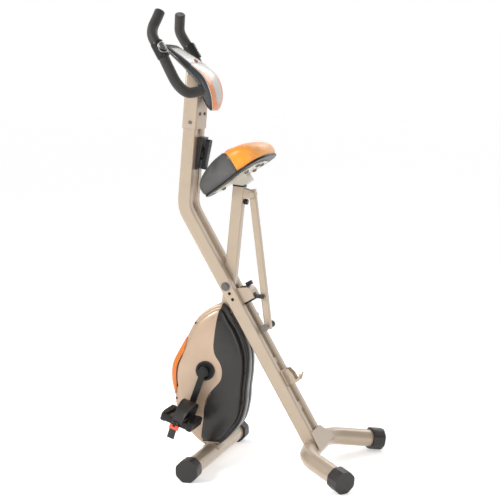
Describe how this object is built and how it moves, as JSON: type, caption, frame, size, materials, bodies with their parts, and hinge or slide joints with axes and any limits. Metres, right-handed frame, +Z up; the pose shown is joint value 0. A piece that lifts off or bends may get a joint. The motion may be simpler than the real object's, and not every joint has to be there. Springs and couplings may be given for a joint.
{
  "type": "exercise_bike",
  "caption": "Folding upright exercise bike: crossed twin-rail frame on two tube bases, closed drive housing, pedals, padded seat and a console between raised handles.",
  "frame": {"origin": "On the floor, under the centre of the folded bike's bounding box", "axes": "+Z up; +X to the rear, the side the seat leans to; +Y to the rider's right, so the left pedal is at -Y"},
  "size_m": [0.6002, 0.5172, 1.2927],
  "materials": {
    "frame_paint": "champagne gold powder coat, satin",
    "black_plastic": "fine texture",
    "charcoal_plastic": "moulded, slight sheen",
    "gold_shell": "painted housing shell, semi gloss",
    "orange_plastic": "semi gloss",
    "foam": "closed cell foam, matt",
    "vinyl": "padded vinyl, dark grey nose and orange rear",
    "plated_steel": "zinc plated",
    "dark_steel": "blackened",
    "iron": "machined rim",
    "screen": "display window, grey green",
    "board": "circuit board",
    "belt_rubber": "ribbed"
  },
  "bodies": {
    "main_frame": {"rail_left": "frame_paint", "rail_right": "frame_paint", "rail_bridge": "frame_paint", "post_sleeve": "frame_paint", "post_screws": "plated_steel", "rear_base_tube": "frame_paint", "rear_base_saddle": "frame_paint", "rear_base_caps": "charcoal_plastic", "handlebar": "dark_steel", "grip_left": "foam", "grip_right": "foam", "bar_clamp": "black_plastic", "pulse_sensors": "black_plastic", "pulse_plates": "plated_steel", "console_shell": "black_plastic", "console_window": "screen", "console_board": "board", "tension_base": "charcoal_plastic", "strut_hook": "frame_paint", "lock_bracket": "frame_paint", "lock_insert": "black_plastic", "pivot_bolt": "plated_steel"},
    "seat_frame": {"seat_tube": "frame_paint", "pivot_bushings": "black_plastic", "post_collar": "black_plastic", "strut_lug": "frame_paint", "front_saddle": "frame_paint", "front_base_tube": "frame_paint", "front_base_caps": "charcoal_plastic", "front_base_bolts": "plated_steel", "housing_left": "gold_shell", "housing_right": "gold_shell", "housing_vents": "orange_plastic", "hub_rings": "black_plastic", "housing_screws": "black_plastic", "bearing_shell": "frame_paint", "drive_bearings": "plated_steel", "drive_belt": "belt_rubber"},
    "crank": {"crank_left": "dark_steel", "crank_right": "dark_steel", "drive_pulley": "charcoal_plastic", "pedal_axle_left": "plated_steel", "pedal_axle_right": "plated_steel"},
    "pedal_left_body": {"pedal_left": "black_plastic", "strap_left": "charcoal_plastic"},
    "pedal_right_body": {"pedal_right": "black_plastic", "strap_right": "charcoal_plastic"},
    "flywheel_body": {"flywheel": "iron", "flywheel_axle": "plated_steel"},
    "magnet": {"magnet_bracket": "dark_steel"},
    "seat": {"seat_post": "frame_paint", "seat_plate": "frame_paint", "seat_cushion": "vinyl"},
    "strut_body": {"strut": "frame_paint", "strut_pin": "dark_steel"},
    "seat_pin_body": {"seat_pin": "black_plastic"},
    "lock_pin_body": {"lock_pin": "charcoal_plastic"},
    "knob": {"tension_knob": "black_plastic"},
    "button": {"mode_button": "orange_plastic"}
  },
  "joints": [
    {"name": "fold", "type": "hinge", "parent": "main_frame", "child": "seat_frame", "pos_m": [-0.1116, 0, 0.516], "axis": [0, 1, 0], "range_deg": [0, 48.5]},
    {"name": "strut_swing", "type": "hinge", "parent": "seat_frame", "child": "strut_body", "pos_m": [-0.04053, 0, 0.77354], "axis": [0, 1, 0], "range_deg": [-36, 0.5]},
    {"name": "seat_height", "type": "slide", "parent": "seat_frame", "child": "seat", "axis": [0.1149, 0, 0.9934], "range_m": [0, 0.15]},
    {"name": "seat_pin_pull", "type": "slide", "parent": "seat_frame", "child": "seat_pin_body", "axis": [0.9934, 0, -0.1149], "range_m": [0, 0.006], "stiffness_N_per_m": 600, "springref_m": -0.004},
    {"name": "lock_pin_pull", "type": "slide", "parent": "main_frame", "child": "lock_pin_body", "axis": [0.9934, 0, -0.1149], "range_m": [0, 0.01], "stiffness_N_per_m": 500, "springref_m": -0.006},
    {"name": "crank_spin", "type": "hinge", "parent": "seat_frame", "child": "crank", "pos_m": [-0.1736, 0, 0.273], "axis": [0, 1, 0], "continuous": true},
    {"name": "flywheel_spin", "type": "hinge", "parent": "seat_frame", "child": "flywheel_body", "pos_m": [-0.15482, 0, 0.14249], "axis": [0, 1, 0], "continuous": true},
    {"name": "pedal_left_spin", "type": "hinge", "parent": "crank", "child": "pedal_left_body", "pos_m": [-0.2209, -0.112, 0.14977], "axis": [0, 1, 0], "continuous": true},
    {"name": "pedal_right_spin", "type": "hinge", "parent": "crank", "child": "pedal_right_body", "pos_m": [-0.12629, 0.112, 0.39623], "axis": [0, 1, 0], "continuous": true},
    {"name": "tension_turn", "type": "hinge", "parent": "main_frame", "child": "knob", "pos_m": [-0.20078, 0, 0.89119], "axis": [0.9759, 0, -0.2181], "range_deg": [0, 280]},
    {"name": "magnet_swing", "type": "hinge", "parent": "seat_frame", "child": "magnet", "pos_m": [-0.16645, 0, 0.20847], "axis": [0, 1, 0], "range_deg": [0, 3.5]},
    {"name": "mode_press", "type": "slide", "parent": "main_frame", "child": "button", "axis": [-0.5186, 0, -0.855], "range_m": [0, 0.002], "stiffness_N_per_m": 400}
  ],
  "couplings": [
    {"joint": "strut_swing", "follows": "fold", "ratio": -0.734},
    {"joint": "seat_height", "follows": "fold", "m_per_rad": 0.17718},
    {"joint": "flywheel_spin", "follows": "crank_spin", "ratio": 6},
    {"joint": "magnet_swing", "follows": "tension_turn", "ratio": 0.0125}
  ]
}
